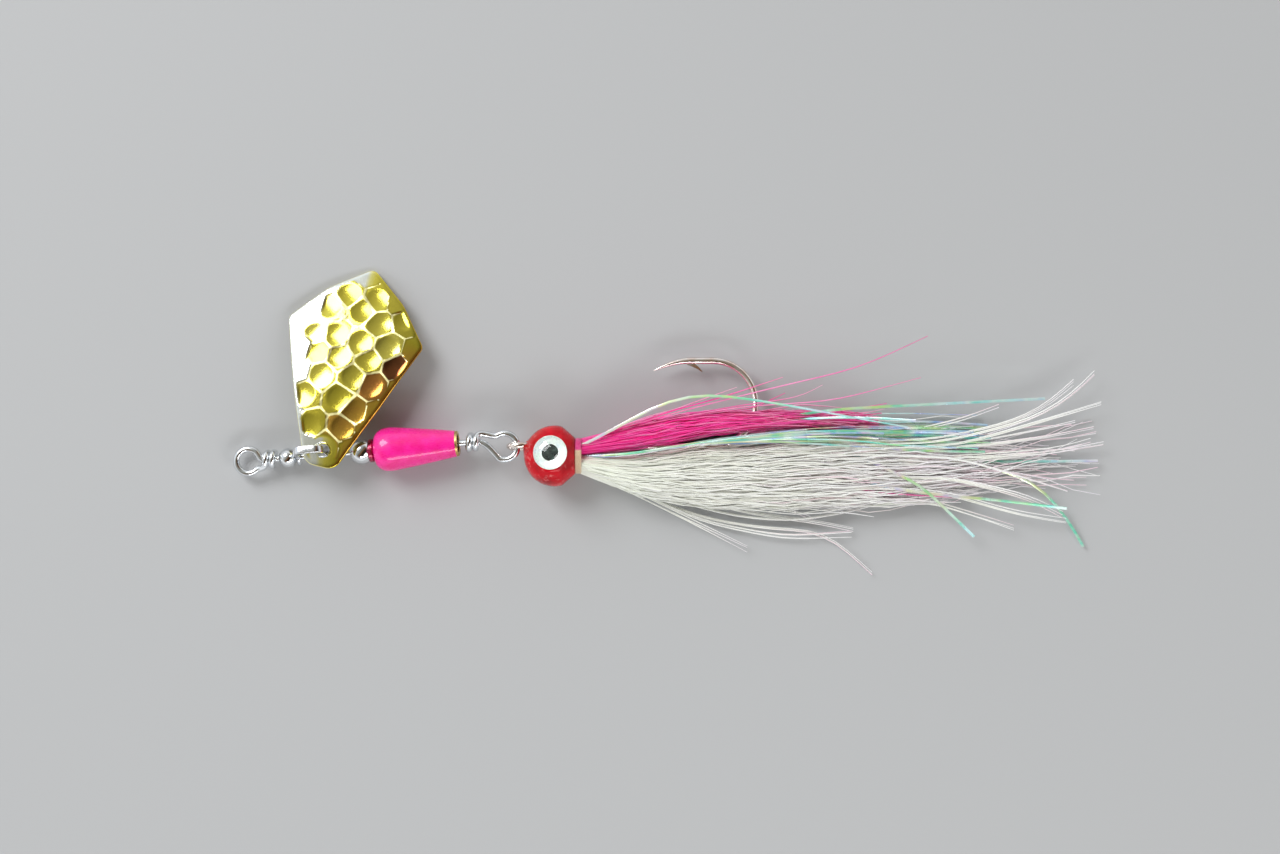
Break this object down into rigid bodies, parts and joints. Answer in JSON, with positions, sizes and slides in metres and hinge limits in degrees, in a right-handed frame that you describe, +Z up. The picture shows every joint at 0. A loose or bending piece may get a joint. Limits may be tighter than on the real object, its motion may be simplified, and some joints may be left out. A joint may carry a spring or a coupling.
{
  "type": "inline spinner",
  "caption": "Inline spinner lure: wire shaft, beads, clevis with a kite-shaped blade, bell body, and a ball-headed hair jig linked to the rear loop.",
  "frame": {"origin": "centre of the lure's footprint, on the table it lies on", "axes": "+X from the line tie towards the tips of the hair, +Y towards the side of the blade and the hook point, +Z up from the table"},
  "size_m": [0.1064, 0.03, 0.0076],
  "materials": {
    "wire": "satin",
    "clevis": "polished",
    "bead": "mirror",
    "blade": "hammered, gold plated",
    "body": "gloss",
    "hook": "nickel plated",
    "head": "gloss",
    "eye_foil": "pearl",
    "pupil": "gloss",
    "eye_dome": "clear resin",
    "thread": "glossed thread",
    "pink_hair": "synthetic hair",
    "white_hair": "synthetic hair",
    "tinsel": "iridescent film"
  },
  "bodies": {
    "shaft": {"wire_shaft": "wire"},
    "front_bead": {"front_bead": "bead"},
    "clevis": {"clevis": "clevis"},
    "blade": {"blade": "blade"},
    "mid_bead": {"mid_bead": "bead"},
    "body": {"body_shell": "body"},
    "jig": {"jig_hook": "hook", "jig_head": "head", "eye_foil_upper": "eye_foil", "eye_pupil_upper": "pupil", "eye_dome_upper": "eye_dome", "eye_foil_lower": "eye_foil", "eye_pupil_lower": "pupil", "eye_dome_lower": "eye_dome", "thread_wrap": "thread", "pink_hair": "pink_hair", "white_hair": "white_hair", "tinsel_upper": "tinsel", "tinsel_lower": "tinsel"}
  },
  "joints": [
    {"name": "front_bead_spin", "type": "hinge", "parent": "shaft", "child": "front_bead", "pos_m": [-0.03642, -0.00768, 0.00253], "axis": [0.9943, 0.0844, 0.0646], "continuous": true},
    {"name": "clevis_spin", "type": "hinge", "parent": "shaft", "child": "clevis", "pos_m": [-0.03642, -0.00768, 0.00253], "axis": [0.9943, 0.0844, 0.0646], "continuous": true},
    {"name": "blade_swing", "type": "hinge", "parent": "clevis", "child": "blade", "pos_m": [-0.04172, -0.00765, 0.00439], "axis": [-0.0806, 0.2037, 0.9757], "range_deg": [-20, 24]},
    {"name": "mid_bead_spin", "type": "hinge", "parent": "shaft", "child": "mid_bead", "pos_m": [-0.03642, -0.00768, 0.00253], "axis": [0.9943, 0.0844, 0.0646], "continuous": true},
    {"name": "body_spin", "type": "hinge", "parent": "shaft", "child": "body", "pos_m": [-0.03642, -0.00768, 0.00253], "axis": [0.9943, 0.0844, 0.0646], "continuous": true},
    {"name": "jig_swing", "type": "hinge", "parent": "shaft", "child": "jig", "pos_m": [-0.01877, -0.0071, 0.00363], "axis": [0, 0, 1], "range_deg": [-45, 45]}
  ]
}
